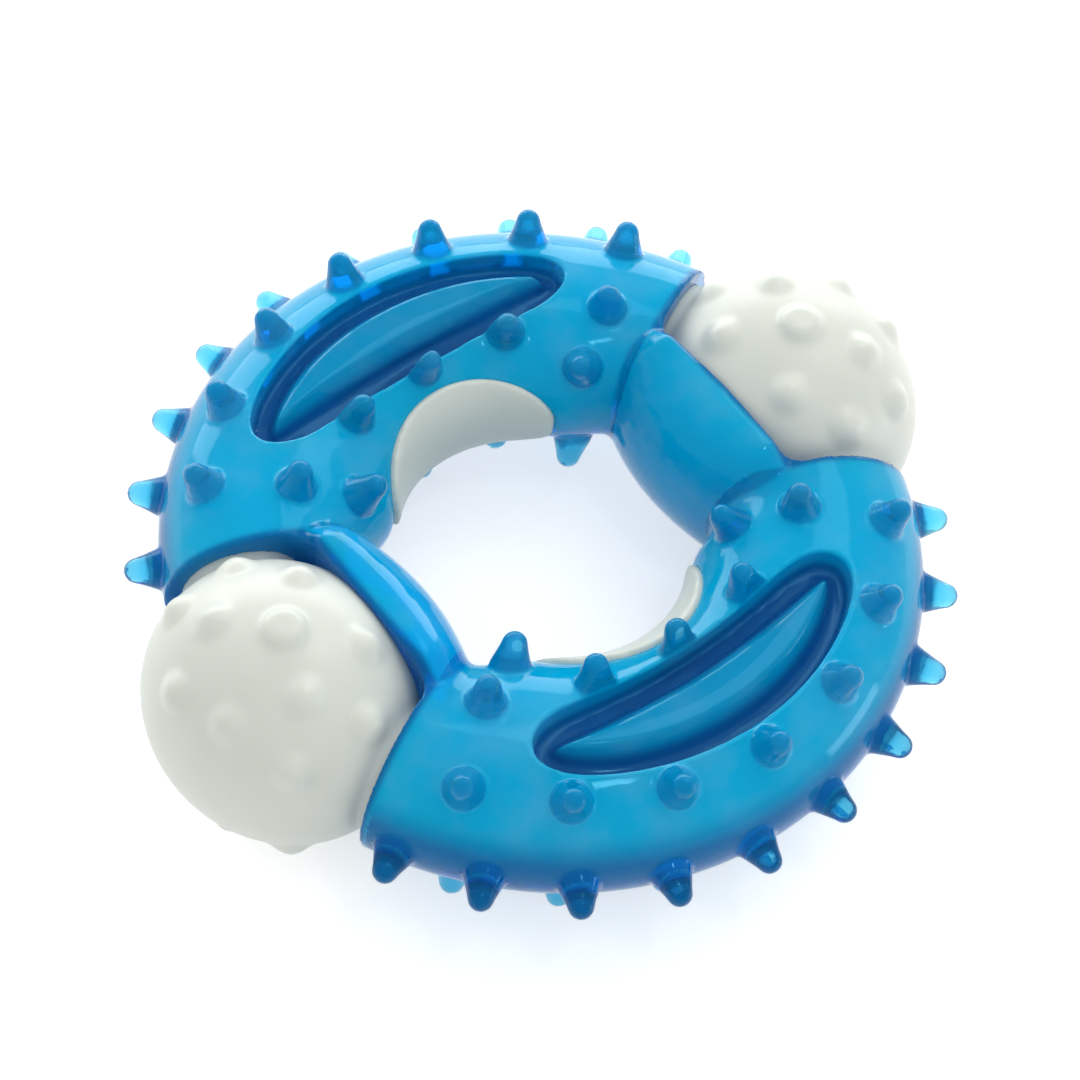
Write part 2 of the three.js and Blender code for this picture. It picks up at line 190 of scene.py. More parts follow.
class ToyFinish(bpy.types.PropertyGroup):
    """Colours, among them the rubber's painted shade, and how milky the rubber is."""

    nylon: colour("Nylon", "Colour of the core", "DEE3DA")
    nylon_shade: colour("Nylon shade", "Colour of the core where it cooled unevenly", "D3D9CF")
    rubber_pass: colour("Rubber", "Light that the clear blue rubber lets through", "00ECFF")
    rubber_density: FloatProperty(
        name="Rubber density", description="How strongly it takes up light, per metre", default=480
    )
    rubber_milk: colour("Rubber pigment", "Colour of the pigment in the rubber", "00CCFF")
    rubber_cloud: colour("Cloudy pigment", "Colour of the pigment in its cloudy patches", "60D4FF")
    # Painted shade: a darker pigment that the spikes take on.
    rubber_spike_shade: colour("Spike pigment", "Colour of the pigment in the spikes", "00A2DC")
    # Painted shade: a darker pigment in the recesses, along the outermost line, round the pockets
    # and round the spikes' feet.
    rubber_painted_shade: colour("Deep pigment", "Colour of the pigment deep in the recesses", "0054A0")
    milkiness: fraction("Milkiness", "Share of the light that the pigment scatters", 0.55)
    spike_milkiness: fraction("Spike milkiness", "The same share in the spikes", 0.12)
    # How milky the rubber is where that painted shade lies.
    painted_shade_milkiness: fraction("Deep milkiness", "The same share in the recesses", 0.75)
    floor: colour("Floor", "Colour of the floor", "F2F2F2")


class ToyStageSettings(bpy.types.PropertyGroup):
    """Camera and lights."""

    azimuth: angle("Azimuth", "Way round the toy from which it is seen", -44.36)
    elevation: angle("Elevation", "Height from which it is seen, above the horizon", 55.2)
    roll: angle("Roll", "Tilt of the camera about its own axis", 7.7)
    distance: length("Distance", "From the camera to the middle of the toy", 480 * MM)


# Mesh tools


def make_object(name, points, faces):
    """A mesh object in the scene."""
    mesh = bpy.data.meshes.new(name)
    mesh.from_pydata([tuple(p) for p in points], [], faces)
    mesh.update()
    made = bpy.data.objects.new(name, mesh)
    bpy.context.scene.collection.objects.link(made)
    return made


def loft(name, rings):
    """Closed solid through rings of points, each with the same count, fanned shut at both ends."""
    rings = [np.asarray(ring) for ring in rings]
    count = len(rings[0])
    points = np.concatenate(rings + [rings[0].mean(0)[None], rings[-1].mean(0)[None]])
    faces = []
    for i in range(len(rings) - 1):
        for j in range(count):
            k = (j + 1) % count
            faces.append((i * count + j, i * count + k, (i + 1) * count + k, (i + 1) * count + j))
    last = (len(rings) - 1) * count
    for j in range(count):
        k = (j + 1) % count
        faces.append((len(points) - 2, k, j))
        faces.append((len(points) - 1, last + j, last + k))
    middle = points.mean(0)
    volume = 0.0
    for face in faces:
        a = points[face[0]] - middle
        for b, c in zip(face[1:-1], face[2:]):
            volume += np.dot(a, np.cross(points[b] - middle, points[c] - middle))
    if volume < 0:
        faces = [tuple(reversed(face)) for face in faces]
    return make_object(name, points, faces)


def settle(piece):
    """Applies a piece's modifiers."""
    graph = bpy.context.evaluated_depsgraph_get()
    before = piece.data
    piece.data = bpy.data.meshes.new_from_object(piece.evaluated_get(graph))
    piece.modifiers.clear()
    bpy.data.meshes.remove(before)
    return piece


def combine(piece, tool, operation):
    """Joins, cuts or keeps what is shared, and takes the tool away."""
    step = piece.modifiers.new("combine", "BOOLEAN")
    step.operation = operation
    step.solver = "MANIFOLD"
    step.object = tool
    settle(piece)
    bpy.data.objects.remove(tool)
    if not piece.data.polygons:
        raise RuntimeError(f"nothing is left of {piece.name} after {operation}")
    return piece


def join(pieces):
    """One solid out of several that overlap."""
    first, *rest = pieces
    for piece in rest:
        combine(first, piece, "UNION")
    return first


def placed(piece, matrix):
    """A copy of a piece, turned or mirrored about the origin."""
    copy = piece.copy()
    copy.data = piece.data.copy()
    bpy.context.scene.collection.objects.link(copy)
    copy.data.transform(matrix)
    if matrix.determinant() < 0:
        copy.data.flip_normals()
    return copy


def with_copy(piece, matrix):
    """A piece joined with its own turned or mirrored copy."""
    return combine(piece, placed(piece, matrix), "UNION")


def mirror(axis):
    return Matrix.Scale(-1, 4, Vector(axis))


def half_turn():
    return Matrix.Rotation(HALF_TURN, 4, "Z")


def drop_specks(piece):
    """Keeps a piece's largest loose part, so that no speck of the voxel grid stays inside it."""
    mesh = bmesh.new()
    mesh.from_mesh(piece.data)
    unseen = set(mesh.verts)
    parts = []
    while unseen:
        part, waiting = [], [unseen.pop()]
        while waiting:
            corner = waiting.pop()
            part.append(corner)
            near = {edge.other_vert(corner) for edge in corner.link_edges} & unseen
            unseen -= near
            waiting.extend(near)
        parts.append(part)
    parts.sort(key=len)
    for part in parts[:-1]:
        bmesh.ops.delete(mesh, geom=part, context="VERTS")
    mesh.to_mesh(piece.data)
    mesh.free()
    return piece


def soften(piece, voxel, passes):
    """Turns a sharp solid into one with a moulded part's soft edges and fillets."""
    grid = piece.modifiers.new("grid", "REMESH")
    grid.mode = "VOXEL"
    grid.voxel_size = voxel
    smooth = piece.modifiers.new("smooth", "SMOOTH")
    smooth.factor = 0.5
    smooth.iterations = passes
    return drop_specks(settle(piece))


# Shapes of the lobes


def polar(radius, turn, height):
    """Points at a radius and a turn about the ring's axis. Each value may be an array."""
    radius, turn, height = np.broadcast_arrays(radius, turn, height)
    return np.stack([radius * np.cos(turn), radius * np.sin(turn), height], -1)


def circle(count):
    """Angles of points spread evenly round a circle."""
    return np.linspace(0, 2 * HALF_TURN, count, endpoint=False)


def ramp(value, start, end):
    """0 before the start, 1 past the end, and smooth in between. The end may be the lower one."""
    share = np.clip((value - start) / (end - start), 0, 1)
    return share * share * (3 - 2 * share)


def lobe_section(ring, turn, side=0.0, top=0.0):
    """Middle radius, half width and half height of a lobe's section, drawn in by two insets."""
    away = np.minimum(turn, HALF_TURN - turn)
    drawback = ring.drawback * ramp(away, ring.drawback_start, ring.end)
    middle = ring.radius - ring.widening * np.cos(2 * turn) + drawback / 2
    return middle, ring.half_width - drawback / 2 - side, ring.half_height - top


def section_points(ring, turn, sides, side=0.0, top=0.0):
    """One section of the upper lobe's tube."""
    middle, half_width, half_height = lobe_section(ring, turn, side, top)
    tube = circle(sides)
    return polar(middle + half_width * np.cos(tube), turn, half_height * np.sin(tube))


def skin_point(ring, turn, round_tube):
    """Point and outward direction on the upper lobe's skin."""
    middle, half_width, half_height = lobe_section(ring, turn)
    c, s = math.cos(round_tube), math.sin(round_tube)
    point = Vector(polar(middle + half_width * c, turn, half_height * s))
    return point, Vector(polar(c / half_width, turn, s / half_height)).normalized()


def lobe_tube(ring, name, end, side=0.0, top=0.0):
    """The upper lobe's tube between two angles, drawn in by two insets."""
    turns = np.linspace(end, HALF_TURN - end, 113)
    return loft(name, [section_points(ring, turn, 96, side, top) for turn in turns])


def band(ring):
    """Smooth bridge on the hole side of the +X knuckle."""
    chamfer = 0.9 * MM
    crest = ring.band_wall - chamfer
    arc = np.linspace(RIGHT_ANGLE, 3 * RIGHT_ANGLE, 41)
    rings = []
    for y in np.linspace(-ring.band_reach, ring.band_reach, 49):
        height = ring.band_height - ring.band_drop * ramp(abs(y), ring.band_flat, ring.band_reach)
        inside = ring.band_inside - ring.band_bulge * (1 - (y / ring.band_flat) ** 2)
        x = np.concatenate([[ring.band_wall] * 2, crest + (crest - inside) * np.cos(arc)])
        z = np.concatenate([[chamfer - height, height - chamfer], height * np.sin(arc)])
        rings.append(np.stack([x, np.full(len(x), y), z], -1))
    return loft("band", rings)


def mouth(ring):
    """The +X knuckle's pocket seen from above, as a prism with rounded inner corners."""
    slope = math.tan(ring.end)
    corner = np.array([ring.band_wall, ring.band_wall * slope])
    opening = RIGHT_ANGLE + ring.end
    centre = corner + [ring.corner, -ring.corner / math.tan(opening / 2)]
    arc = np.linspace(HALF_TURN, opening, 17)
    upper = [centre + ring.corner * np.array([math.cos(a), math.sin(a)]) for a in arc]
    upper.append(np.array([2 * ring.radius, 2 * ring.radius * slope]))
    outline = upper + [point * [1, -1] for point in reversed(upper)]
    top = 2 * ring.band_height
    return loft("mouth", [[(x, y, z) for x, y in outline] for z in (-top, top)])


def crescent(name, half_angle, edges, ends, sharpness, levels):
    """Crescent prism over the crown of the upper lobe.

    The edges are its outer and inner radius, the ends its radius and half width there, and the
    levels pairs of height and inset. The sharper it is, the squarer its ends.
    """
    outer, inner = edges
    end_radius, end_width = ends
    shares = -np.cos(np.linspace(0, HALF_TURN, 65))
    rings = []
    for height, inset in levels:
        outline = []
        for side, rim, run in ((1, outer, shares), (-1, inner, shares[-2:0:-1])):
            end_rim = end_radius + side * end_width
            for share in run:
                bow = share * share
                middle = (outer + inner) / 2 * (1 - bow) + end_radius * bow
                near = rim * (1 - bow) + end_rim * bow - side * inset
                radius = middle + (near - middle) * math.sqrt(max(0.0, 1 - share**sharpness))
                turn = RIGHT_ANGLE - (half_angle - inset / middle) * share
                outline.append(polar(radius, turn, height))
        rings.append(outline)
    return loft(name, rings)


def spike_places():
    """Angle round the ring and angle round the tube of each spike of the upper lobe."""
    # Count of a row, spacing along it in degrees, place round the tube at so many degrees from the
    # lobe's middle, and whether the lower half has the row too.
    rows = (
        (10, 13.2, lambda away: 0, False),
        (7, 17.2, lambda away: 55, True),
        (5, 26, lambda away: 124 - 22 * (away / 52) ** 2, True),
        (2, 98, lambda away: 137, True),
    )
    for count, spacing, round_tube, both in rows:
        for i in range(count):
            away = (i - (count - 1) / 2) * spacing
            for side in (1, -1) if both else (1,):
                yield math.radians(90 + away), math.radians(side * round_tube(away))


def turned(name, profile, point, direction, sides=32):
    """Solid of revolution from pairs of radius and height, set on a point along a direction."""
    outward = direction.to_track_quat("Z", "Y").to_matrix()
    rings = []
    for radius, height in profile:
        around = polar(radius, circle(sides), height)
        rings.append([point + outward @ Vector(corner) for corner in around])
    return loft(name, rings)


def spike(spikes, point, direction):
    """A cone with a round tip."""
    base, tip = spikes.base, spikes.tip
    shoulder = spikes.height - tip
    profile = [(base, -spikes.sink)]
    profile += [(base + (tip - base) * t, shoulder * t) for t in (0, 0.2, 0.4, 0.6, 0.8)]
    for lean in np.linspace(0.1, 0.97, 8) * RIGHT_ANGLE:
        profile.append((tip * math.cos(lean), shoulder + tip * math.sin(lean)))
    return turned("spike", profile, point, direction)


# Shapes of the core


def bar(ring, core, grow):
    """The core's curved bar through the upper lobe."""
    end = ring.end + math.radians(4.5) - grow / ring.radius
    return lobe_tube(ring, "bar", end, side=core.skin_side - grow, top=core.skin_top - grow)


def knuckle(core, grow):
    """The +X knuckle."""
    radii = np.array([core.knuckle_length, core.knuckle_width, core.knuckle_height]) + grow
    middle = np.array([core.knuckle_x, 0, 0])
    rings = []
    for tilt in np.linspace(-NEAR_POLE, NEAR_POLE, 73) * RIGHT_ANGLE:
        rings.append(polar(math.cos(tilt), circle(128), math.sin(tilt)) * radii + middle)
    return loft("knuckle", rings)


def neck(core, grow):
    """Joins the +X knuckle to the bar in the upper lobe, 38 to 18 degrees from the knuckle line."""
    around = circle(64)
    radius = core.neck_radius + (core.neck_half_width + grow) * np.cos(around)
    rings = []
    for share in np.linspace(0, 1, 21):
        half_height = core.neck_low + (core.neck_high - core.neck_low) * share + grow
        rings.append(polar(radius, math.radians(38 - 20 * share), half_height * np.sin(around)))
    return loft("neck", rings)


def pad(ring, core, grow):
    """The pad that fills the upper lobe's window. Its edge stands square to the skin."""
    reach = core.window_half_angle + grow / (ring.radius - ring.half_width)
    rings = []
    for share in -NEAR_POLE * np.cos(np.linspace(0, HALF_TURN, 49)):
        turn = RIGHT_ANGLE - reach * share
        tall = (core.window_half_height + grow) * math.sqrt(1 - share * share)
        edge = math.asin(tall / ring.half_height)
        points = []
        for lean in np.linspace(-edge, edge, 25):
            point, out = skin_point(ring, turn, HALF_TURN + lean)
            points.append(point + out * (core.pad_proud + grow))
        for lean in (edge, -edge):
            point, out = skin_point(ring, turn, HALF_TURN + lean)
            points.append(point - out * PAD_ROOT)
        rings.append(points)
    return loft("pad", rings)


def core_body(ring, core, grow):
    """The whole core without its nubs, drawn out on all sides by the given amount."""
    necks = with_copy(neck(core, grow), mirror((1, 0, 0)))
    half = join([bar(ring, core, grow), necks, pad(ring, core, grow), knuckle(core, grow)])
    return with_copy(half, half_turn())


# Directions of the nubs on a knuckle: degrees round from +X, and degrees down from the pole.
NUB_PLACES = (
    (-50, 30), (68, 28), (146, 35), (-140, 33),
    (-101, 48), (-62, 54), (-14, 54), (20, 46), (56, 58), (102, 49),
)


def nub(core, around, down):
    """A soft round nub on the +X knuckle."""
    radii = Vector((core.knuckle_length, core.knuckle_width, core.knuckle_height))
    unit = Vector(polar(math.sin(down), around, math.cos(down)))
    point = unit * radii + Vector((core.knuckle_x, 0, 0))
    out = Vector([u / r for u, r in zip(unit, radii)]).normalized()
    profile = [(core.nub_radius, -NUB_ROOT)]
    for share in np.linspace(1, 0.04, 9):
        profile.append((core.nub_radius * share, core.nub_height * (1 - share**2) ** 1.3))
    return turned("nub", profile, point, out)


def foot(core):
    """The nub at the pole, with the small flat that the toy rests on."""
    pole = Vector((core.knuckle_x, 0, core.knuckle_height))
    flat = 1.3 * MM
    profile = [(3.6 * MM, -NUB_ROOT), (3.3 * MM, 0.2 * MM), (2.8 * MM, 0.9 * MM)]
    profile += [(core.foot_radius, flat), (core.foot_radius * 0.3, flat)]
    return turned("foot", profile, pole, Vector((0, 0, 1)), sides=48)


def note_tone(piece, ring, recess):
    """Stores painted shade (0 to 1), which darkens the rubber's pigment in the recesses, along the
    outermost line, round the pockets and round the spikes' feet, and where the rubber stands out in
    a spike (0 to 1), where it takes a darker pigment as painted shade and is clearer.

    Heights are in millimetres above the smooth skin.
    """
    count = len(piece.data.vertices)
    points = np.empty(count * 3)
    piece.data.vertices.foreach_get("co", points)
    x, y, z = abs(points.reshape(count, 3).T)
    turn, radius = np.arctan2(y, x), np.hypot(x, y)
    middle, half_width, half_height = lobe_section(ring, turn)
    across, up = (radius - middle) / half_width, z / half_height
    height = (np.hypot(across, up) - 1) * half_height / MM
    slack = 0.02  # about a degree, in radians
    on_lobe = turn > ring.end + slack
    # The recess: painted shade, half of it at the rib's top and all of it in the grooves. The
    # core's channel below the floor keeps the skin's own tone.
    in_recess = RIGHT_ANGLE - turn < recess.half_angle + 2 * slack
    in_recess &= (radius > recess.inner - MM) & (radius < recess.outer + MM)
    in_recess &= (z > half_height / 2) & (height > -recess.depth / MM - 0.6)
    hollow = in_recess * (0.5 * ramp(-height, 0.1, 0.8) + 0.5 * ramp(-height, 1.3, 3.2))
    # Painted shade along the outermost line, where the eye looks through the thickest rubber.
    tube = np.degrees(np.arctan2(up, across))
    outermost = 0.9 * ramp(tube, 40, 14) * on_lobe * (abs(height) < 1)
    # Painted shade on the edges round the knuckles, up to 1.6 mm from the pockets.
    from_mouth = np.maximum(ring.band_wall - x, (y - x * math.tan(ring.end)) * math.cos(ring.end))
    rim = 0.85 * ramp(from_mouth / MM, 1.6, 0.4)
    # The spikes: painted shade as a dark line round the foot, and above it a darker pigment, also
    # painted shade, and clearer rubber, most of all in the outermost row.
    foot_line = 0.5 * ramp(height, 0.1, 0.4) * (1 - ramp(height, 0.5, 1.6)) * on_lobe
    spike_shade_and_clearness = ramp(height, 0.3, 1.5) * (1 - 0.6 * ramp(z / MM, 4, 8)) * on_lobe
    painted_shade = np.max([hollow, outermost, rim, foot_line], axis=0)
    for name, values in (("painted_shade", painted_shade), ("spike_shade_and_clearness", spike_shade_and_clearness)):
        piece.data.attributes.new(name, "FLOAT", "POINT").data.foreach_set("value", values)


# Materials


def node(tree, kind, settings=None, links=None):
    """Adds a node, sets its attributes and sockets, and links what feeds it.

    A key is an attribute's or a socket's name, or the number of a socket whose name isn't unique.
    """
    made = tree.nodes.new(kind)
    for key, value in (settings or {}).items():
        if isinstance(key, int) or key in made.inputs:
            made.inputs[key].default_value = value
        else:
            setattr(made, key, value)
    for key, source in (links or {}).items():
        tree.links.new(source, made.inputs[key])
    return made


def new_material(name):
    """An empty material and its node tree."""
    material = bpy.data.materials.new(name)
    material.use_nodes = True
    material.node_tree.nodes.clear()
    return material, material.node_tree


def injection_moulded_nylon(finish):
    """Off-white nylon: half gloss, a little milky, with the mould's fine grain."""
    material, tree = new_material("injection moulded nylon")
    place = node(tree, "ShaderNodeTexCoord").outputs["Object"]
    # The melt cools unevenly over about 12 mm, which leaves faint cloudy patches.
    cloud = node(
        tree, "ShaderNodeTexNoise", {"Scale": 1 / (12 * MM), "Detail": 2.0}, {"Vector": place}
    ).outputs["Fac"]
    tint = node(
        tree,
        "ShaderNodeMix",
        {"data_type": "RGBA", 6: (*finish.nylon, 1), 7: (*finish.nylon_shade, 1)},
        {0: cloud},
    )
    # Spark-eroded mould grain of 0.4 mm, and a slower ripple of 4 mm.
    grain = node(
        tree, "ShaderNodeTexNoise", {"Scale": 1 / (0.4 * MM), "Detail": 3.0}, {"Vector": place}
    )
    fine = node(
        tree,
        "ShaderNodeBump",
        {"Strength": 0.12, "Distance": 0.03 * MM},
        {"Height": grain.outputs["Fac"]},
    )
    ripple = node(
        tree, "ShaderNodeTexNoise", {"Scale": 1 / (4 * MM), "Detail": 1.0}, {"Vector": place}
    )
    slow = node(
        tree,
        "ShaderNodeBump",
        {"Strength": 0.25, "Distance": 0.05 * MM},
        {"Height": ripple.outputs["Fac"], "Normal": fine.outputs["Normal"]},
    )
    gloss = node(tree, "ShaderNodeMapRange", {"To Min": 0.3, "To Max": 0.42}, {"Value": cloud})
    shader = node(
        tree,
        "ShaderNodeBsdfPrincipled",
        {
            "IOR": 1.53,
            "Subsurface Weight": 0.25,
            "Subsurface Radius": (1.0, 0.9, 0.8),
            "Subsurface Scale": 1.2 * MM,
        },
        {
            "Base Color": tint.outputs[2],
            "Roughness": gloss.outputs["Result"],
            "Normal": slow.outputs["Normal"],
        },
    )
    node(tree, "ShaderNodeOutputMaterial", links={"Surface": shader.outputs["BSDF"]})
    return material


def moulded_clear_rubber(finish):
    """Clear blue thermoplastic rubber: glossy, with the faint ripple of a soft moulding, and
    painted shade in its pigment.
    """
    material, tree = new_material("moulded clear rubber")
    place = node(tree, "ShaderNodeTexCoord").outputs["Object"]
    # Flow ripple of about 5 mm and a skin texture of about 0.6 mm.
    ripple = node(
        tree, "ShaderNodeTexNoise", {"Scale": 1 / (5 * MM), "Detail": 1.5}, {"Vector": place}
    ).outputs["Fac"]
    slow = node(
        tree, "ShaderNodeBump", {"Strength": 0.35, "Distance": 0.12 * MM}, {"Height": ripple}
    )
    skin = node(
        tree, "ShaderNodeTexNoise", {"Scale": 1 / (0.6 * MM), "Detail": 2.0}, {"Vector": place}
    )
    fine = node(
        tree,
        "ShaderNodeBump",
        {"Strength": 0.06, "Distance": 0.03 * MM},
        {"Height": skin.outputs["Fac"], "Normal": slow.outputs["Normal"]},
    )
    gloss = node(tree, "ShaderNodeMapRange", {"To Min": 0.03, "To Max": 0.1}, {"Value": ripple})
    surface = {"Roughness": gloss.outputs["Result"], "Normal": fine.outputs["Normal"]}
    clear = node(
        tree,
        "ShaderNodeBsdfPrincipled",
        {
            "Base Color": (1, 1, 1, 1),
            "IOR": 1.4,
            "Transmission Weight": 1.0,
            "Specular Tint": GLOSS_TINT,
        },
        surface,
    )
    # The pigment makes the rubber a little milky. Painted shade darkens the pigment, and makes it
    # milkier, in the recesses, along the outermost line, round the pockets and round the spikes'
    # feet.
    # The spikes take a darker pigment as painted shade, and are clearer.
    painted_shade = node(tree, "ShaderNodeAttribute", {"attribute_name": "painted_shade"}).outputs["Fac"]
    spike_shade_and_clearness = node(tree, "ShaderNodeAttribute", {"attribute_name": "spike_shade_and_clearness"}).outputs["Fac"]
    # It is cloudy in patches of about 9 mm, where the melt flowed together.
    cloud = node(
        tree, "ShaderNodeTexNoise", {"Scale": 1 / (9 * MM), "Detail": 3.0}, {"Vector": place}
    )
    patch = node(
        tree,
        "ShaderNodeMapRange",
        {"From Min": 0.45, "From Max": 0.75, "To Max": 0.6},
        {"Value": cloud.outputs["Fac"]},
    )
    skin_tone = node(
        tree,
        "ShaderNodeMix",
        {"data_type": "RGBA", 6: (*finish.rubber_milk, 1), 7: (*finish.rubber_cloud, 1)},
        {0: patch.outputs["Result"]},
    )
    # Painted shade: the spikes take on a darker pigment.
    spike_tone = node(
        tree,
        "ShaderNodeMix",
        {"data_type": "RGBA", 7: (*finish.rubber_spike_shade, 1)},
        {0: spike_shade_and_clearness, 6: skin_tone.outputs[2]},
    )
    # Painted shade: a darker pigment in the recesses, along the outermost line, round the pockets
    # and round the spikes' feet.
    tone = node(
        tree,
        "ShaderNodeMix",
        {"data_type": "RGBA", 7: (*finish.rubber_painted_shade, 1)},
        {0: painted_shade, 6: spike_tone.outputs[2]},
    )
    spike_share = node(
        tree,
        "ShaderNodeMapRange",
        {"To Min": finish.milkiness, "To Max": finish.spike_milkiness},
        {"Value": spike_shade_and_clearness},
    )
    # The rubber is milkier where that painted shade lies.
    share = node(
        tree,
        "ShaderNodeMapRange",
        {"To Max": finish.painted_shade_milkiness},
        {"Value": painted_shade, "To Min": spike_share.outputs["Result"]},
    )
    milky = node(
        tree,
        "ShaderNodeBsdfPrincipled",
        {"IOR": 1.4, "Specular Tint": GLOSS_TINT},
        {"Base Color": tone.outputs[2], **surface},
    )
    shader = node(
        tree,
        "ShaderNodeMixShader",
        links={"Fac": share.outputs["Result"], 1: clear.outputs["BSDF"], 2: milky.outputs["BSDF"]},
    )
    inside = node(
        tree,
        "ShaderNodeVolumeAbsorption",
        {"Color": (*finish.rubber_pass, 1), "Density": finish.rubber_density},
    )
    node(
        tree,
        "ShaderNodeOutputMaterial",
        links={"Surface": shader.outputs["Shader"], "Volume": inside.outputs["Volume"]},
    )
    return material


def painted_board(finish):
    """Matt pale board. It looks white to the camera and in reflections, and keeps its shadows."""
    material, tree = new_material("painted board")
    place = node(tree, "ShaderNodeTexCoord").outputs["Object"]
    # The roller leaves a stipple of 1.5 mm.
    paint = node(
        tree, "ShaderNodeTexNoise", {"Scale": 1 / (1.5 * MM), "Detail": 2.0}, {"Vector": place}
    )
    bump = node(
        tree,
        "ShaderNodeBump",
        {"Strength": 0.03, "Distance": 0.02 * MM},
        {"Height": paint.outputs["Fac"]},
    )
    matt = node(
        tree,
        "ShaderNodeBsdfDiffuse",
        {"Color": (*finish.floor, 1)},
        {"Normal": bump.outputs["Normal"]},
    )
    # Half white is added to what the lamps give it, but only where it is looked at.
    path = node(tree, "ShaderNodeLightPath").outputs
    seen = node(
        tree,
        "ShaderNodeMath",
        {"operation": "MAXIMUM"},
        {0: path["Is Camera Ray"], 1: path["Is Glossy Ray"]},
    )
    looked_at = node(
        tree,
        "ShaderNodeMath",
        {"operation": "MAXIMUM"},
        {0: seen.outputs[0], 1: path["Is Transmission Ray"]},
    )
    lift = node(
        tree, "ShaderNodeMath", {"operation": "MULTIPLY", 1: 0.5}, {0: looked_at.outputs[0]}
    )
    glow = node(tree, "ShaderNodeEmission", links={"Strength": lift.outputs[0]})
    both = node(tree, "ShaderNodeAddShader", links={0: matt.outputs[0], 1: glow.outputs[0]})
    node(tree, "ShaderNodeOutputMaterial", links={"Surface": both.outputs[0]})
    return material


def dress(piece, material, name):
    """Gives a piece its name and its material, and smooth shading."""
    piece.name = name
    piece.data.name = name
    piece.data.materials.clear()
    piece.data.materials.append(material)
    for face in piece.data.polygons:
        face.use_smooth = True


# Operators


class TOY_OT_core(bpy.types.Operator):
    """Builds the hard core with its knuckles, nubs, bars and window pads"""

    bl_idname = "toy.core"
    bl_label = "Nylon core"

    def execute(self, context):
        scene = context.scene
        core = scene.toy_core
        piece = core_body(scene.toy_ring, core, 0.0)
        nubs = [nub(core, math.radians(a), math.radians(d)) for a, d in NUB_PLACES]
        nubs = join([foot(core), *nubs])
        nubs = with_copy(with_copy(nubs, mirror((0, 0, 1))), half_turn())
        combine(piece, nubs, "UNION")
        soften(piece, 0.5 * MM, 6)
        dress(piece, injection_moulded_nylon(scene.toy_finish), "nubbed_core")
        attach(piece, "root")
        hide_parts("knuckle_core")
        return {"FINISHED"}


class TOY_OT_ring(bpy.types.Operator):
    """Builds the soft ring with its spikes, recesses, ribs, windows and pockets"""

    bl_idname = "toy.ring"
    bl_label = "Soft ring"

    def lobes_and_bands(self, ring, core):
        lobe = lobe_tube(ring, "lobe", ring.end / 2)
        body = with_copy(join([lobe, band(ring), knuckle(core, ring.lip)]), half_turn())
        # Wide fillets where lobes and bands meet, before the pockets' sharper rims.
        soften(body, 0.6 * MM, 8)
        return combine(body, with_copy(mouth(ring), half_turn()), "DIFFERENCE")

    def recess(self, ring, recess):
        crown = ring.half_height
        floor = crown - recess.depth
        slope = (recess.wall_foot + recess.wall_top) / recess.depth
        levels = [(0.4 * crown, recess.wall_foot), (floor, recess.wall_foot)]
        levels += [(z, recess.wall_foot - slope * (z - floor)) for z in (crown, 1.5 * crown)]
        edges = (recess.outer, recess.inner)
        ends = (recess.end_radius, recess.end_width)
        cutter = crescent("recess", recess.half_angle, edges, ends, 12, levels)
        below = lobe_tube(ring, "recess floor", ring.end, side=recess.depth, top=recess.depth)
        return combine(cutter, below, "DIFFERENCE")

    def rib(self, ring, recess):
        # Its sides lean in more and more towards the top, which rounds it.
        crown = ring.half_height
        floor = crown - recess.depth
        levels = [(0.5 * crown, -recess.rib_foot), (floor, -recess.rib_foot)]
        levels.append((floor + 0.4 * recess.depth, 0.1 * MM))
        levels.append((floor + 0.75 * recess.depth, 1.1 * MM))
        levels.append((crown, 2.4 * MM))
        edges = (recess.rib_outer, recess.rib_inner)
        ends = (recess.rib_end_radius, recess.rib_end_width)
        body = crescent("rib", recess.rib_half_angle, edges, ends, 4, levels)
        top = lobe_tube(ring, "rib top", ring.end, side=recess.rib_drop, top=recess.rib_drop)
        return combine(body, top, "INTERSECT")

    def execute(self, context):
        scene = context.scene
        ring, core, recess = scene.toy_ring, scene.toy_core, scene.toy_recess
        piece = self.lobes_and_bands(ring, core)
        spots = [skin_point(ring, *place) for place in spike_places()]
        all_spikes = join([spike(scene.toy_spikes, point, out) for point, out in spots])
        combine(piece, with_copy(all_spikes, half_turn()), "UNION")
        cutter = with_copy(self.recess(ring, recess), mirror((0, 0, 1)))
        combine(piece, with_copy(cutter, half_turn()), "DIFFERENCE")
        rib = with_copy(self.rib(ring, recess), mirror((0, 0, 1)))
        combine(piece, with_copy(rib, half_turn()), "UNION")
        combine(piece, core_body(ring, core, -core.bond), "DIFFERENCE")
        soften(piece, 0.36 * MM, 3)
        note_tone(piece, ring, recess)
        dress(piece, moulded_clear_rubber(scene.toy_finish), "spiked_clear_ring")
        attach(piece, "root")
        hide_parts("spiked_ring")
        return {"FINISHED"}


def outlook(azimuth, elevation):
    """Direction from the toy to a lamp or the camera, round from -Y towards +X, and up."""
    level = math.cos(elevation)
    return Vector((math.sin(azimuth) * level, -math.cos(azimuth) * level, math.sin(elevation)))


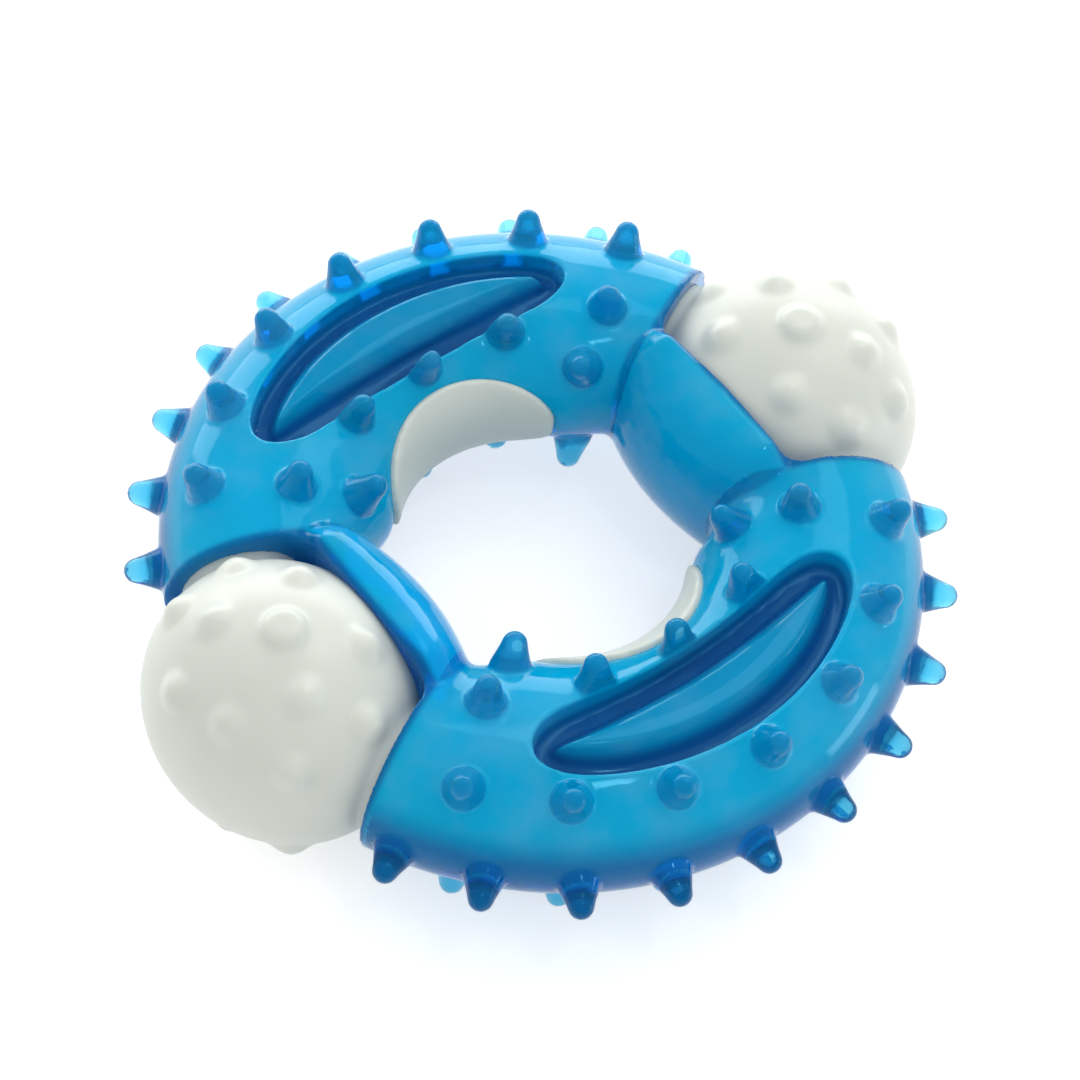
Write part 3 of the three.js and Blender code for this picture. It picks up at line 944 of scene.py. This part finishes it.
class TOY_OT_stage(bpy.types.Operator):
    """Lays the floor and places the lights and the camera"""

    bl_idname = "toy.stage"
    bl_label = "Floor, lights and camera"

    # Name, degrees round and up, distance and size in metres, and power in watts.
    SOFTBOXES = (
        ("key softbox", 105, 60, 0.9, (0.45, 0.45), 1.2),
        ("far softbox", 150, 14, 0.9, (1.6, 0.4), 6),
        ("right softbox", 45, 4, 0.9, (0.3, 0.15), 0.6),
        ("small softbox", 5, 74, 0.9, (0.09, 0.09), 0.3),
    )
    SKY_STRENGTH = 0.78

    def floor(self, finish):
        half = 2.0
        corners = [(-half, -half, 0), (half, -half, 0), (half, half, 0), (-half, half, 0)]
        piece = make_object("floor", corners, [(0, 1, 2, 3)])
        piece.location.z = CAD_LOW.z
        piece.data.materials.append(painted_board(finish))

    def softbox(self, name, azimuth, elevation, distance, size, power):
        light = bpy.data.lights.new(name, "AREA")
        light.shape = "RECTANGLE"
        light.size, light.size_y = size
        light.energy = power
        lamp = bpy.data.objects.new(name, light)
        bpy.context.scene.collection.objects.link(lamp)
        back = outlook(math.radians(azimuth), math.radians(elevation))
        lamp.location = back * distance
        lamp.rotation_euler = back.to_track_quat("Z", "Y").to_euler()

    def sky(self, scene):
        scene.world = bpy.data.worlds.new("studio")
        scene.world.use_nodes = True
        background = scene.world.node_tree.nodes["Background"]
        background.inputs["Color"].default_value = (1, 1, 1, 1)
        background.inputs["Strength"].default_value = self.SKY_STRENGTH

    def camera(self, stage):
        # Size of the photograph's frame, its scale at the toy and the toy's middle in it.
        frame_pixels = 1080
        pixels_per_metre = 6680
        middle = (542.8, 544.6)
        data = bpy.data.cameras.new("camera")
        data.sensor_width = 36
        data.lens = data.sensor_width * stage.distance * pixels_per_metre / frame_pixels
        data.shift_x = (frame_pixels / 2 - middle[0]) / frame_pixels
        data.shift_y = (middle[1] - frame_pixels / 2) / frame_pixels
        data.clip_start, data.clip_end = 0.01, 20
        camera = bpy.data.objects.new("camera", data)
        bpy.context.scene.collection.objects.link(camera)
        back = outlook(stage.azimuth, stage.elevation)
        upright = back.to_track_quat("Z", "Y").to_matrix().to_4x4()
        tilt = Matrix.Rotation(stage.roll, 4, "Z")
        camera.matrix_world = Matrix.Translation(back * stage.distance) @ upright @ tilt
        bpy.context.scene.camera = camera

    def execute(self, context):
        scene = context.scene
        scene.view_settings.view_transform = "Standard"
        self.floor(scene.toy_finish)
        for softbox in self.SOFTBOXES:
            self.softbox(*softbox)
        self.sky(scene)
        self.camera(scene.toy_stage)
        return {"FINISHED"}


class TOY_PT_panel(bpy.types.Panel):
    """Lists the toy's pieces"""

    bl_idname = "TOY_PT_panel"
    bl_label = "Chew Toy"
    bl_space_type = "VIEW_3D"
    bl_region_type = "UI"
    bl_category = "Chew Toy"

    def draw(self, context):
        for operator in OPERATORS:
            self.layout.operator(operator.bl_idname)
        for name, group in SETTINGS.items():
            box = self.layout.box()
            box.label(text=group.__doc__)
            for key in group.__annotations__:
                box.prop(getattr(context.scene, name), key)


OPERATORS = (TOY_OT_core, TOY_OT_ring, TOY_OT_stage)
SETTINGS = {
    "toy_ring": ToyRingSizes,
    "toy_spikes": ToySpikeSizes,
    "toy_recess": ToyRecessSizes,
    "toy_core": ToyCoreSizes,
    "toy_finish": ToyFinish,
    "toy_stage": ToyStageSettings,
}


def register():
    for group in (*SETTINGS.values(), *OPERATORS, TOY_PT_panel):
        bpy.utils.register_class(group)
    for name, group in SETTINGS.items():
        setattr(bpy.types.Scene, name, PointerProperty(type=group))


def unregister():
    for name in SETTINGS:
        delattr(bpy.types.Scene, name)
    for group in reversed((*SETTINGS.values(), *OPERATORS, TOY_PT_panel)):
        bpy.utils.unregister_class(group)


def main():
    register()
    bpy.ops.toy.stage()
    bpy.ops.toy.core()
    bpy.ops.toy.ring()


if __name__ == "__main__":
    main()
